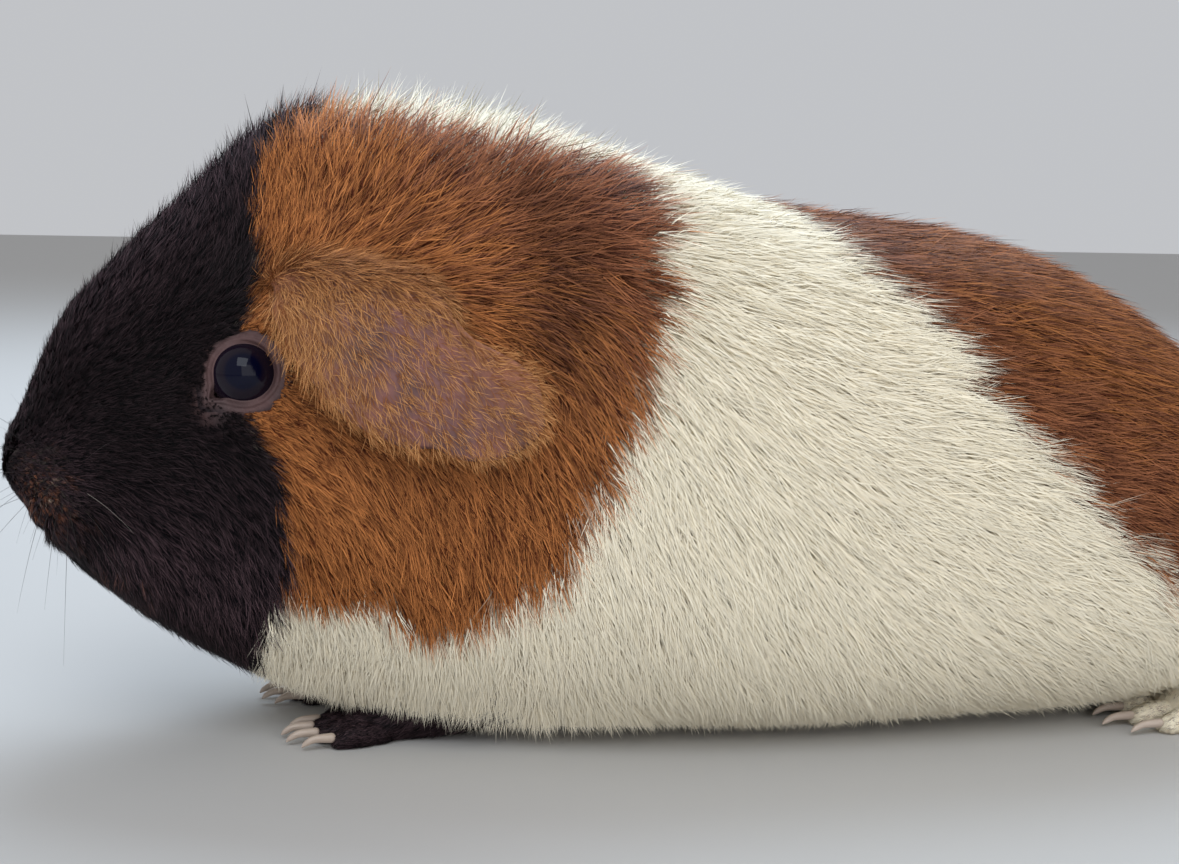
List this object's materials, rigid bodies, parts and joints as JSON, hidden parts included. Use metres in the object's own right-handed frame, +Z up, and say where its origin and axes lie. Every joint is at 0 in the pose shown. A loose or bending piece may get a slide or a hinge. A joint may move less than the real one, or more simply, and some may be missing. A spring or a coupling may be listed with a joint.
{
  "type": "guinea pig",
  "caption": "Life-size still model of a short-haired guinea pig resting on its belly: blunt head, drooping petal ears, round body, short legs and no tail; black, orange and cream coat.",
  "frame": {"origin": "bottom centre of the box round the whole animal, on the floor", "axes": "+Z up, the nose points along -Y, the animal's left side along +X"},
  "size_m": [0.1124, 0.253, 0.1095],
  "materials": {
    "orange_coat": "short smooth coat, orange to reddish brown",
    "cream_coat": "short smooth coat, cream white",
    "black_coat": "short smooth coat, black brown",
    "ear_skin": "thin pinkish skin with sparse down",
    "claw_horn": "horn, satin",
    "eye_gloss": "wet and glossy, near black"
  },
  "bodies": {
    "root": {"nose": "black_coat", "head": "black_coat", "neck": "orange_coat", "trunk": "cream_coat", "rump": "orange_coat", "eye_left": "eye_gloss", "ear_left": "ear_skin", "foreleg_left": "cream_coat", "forefoot_left": "black_coat", "forefoot_left_claw_1": "claw_horn", "forefoot_left_claw_2": "claw_horn", "forefoot_left_claw_3": "claw_horn", "forefoot_left_claw_4": "claw_horn", "hindleg_left": "cream_coat", "hindfoot_left": "ear_skin", "hindfoot_left_claw_1": "claw_horn", "hindfoot_left_claw_2": "claw_horn", "hindfoot_left_claw_3": "claw_horn", "eye_right": "eye_gloss", "ear_right": "ear_skin", "foreleg_right": "cream_coat", "forefoot_right": "black_coat", "forefoot_right_claw_1": "claw_horn", "forefoot_right_claw_2": "claw_horn", "forefoot_right_claw_3": "claw_horn", "forefoot_right_claw_4": "claw_horn", "hindleg_right": "cream_coat", "hindfoot_right": "ear_skin", "hindfoot_right_claw_1": "claw_horn", "hindfoot_right_claw_2": "claw_horn", "hindfoot_right_claw_3": "claw_horn"}
  },
  "joints": []
}
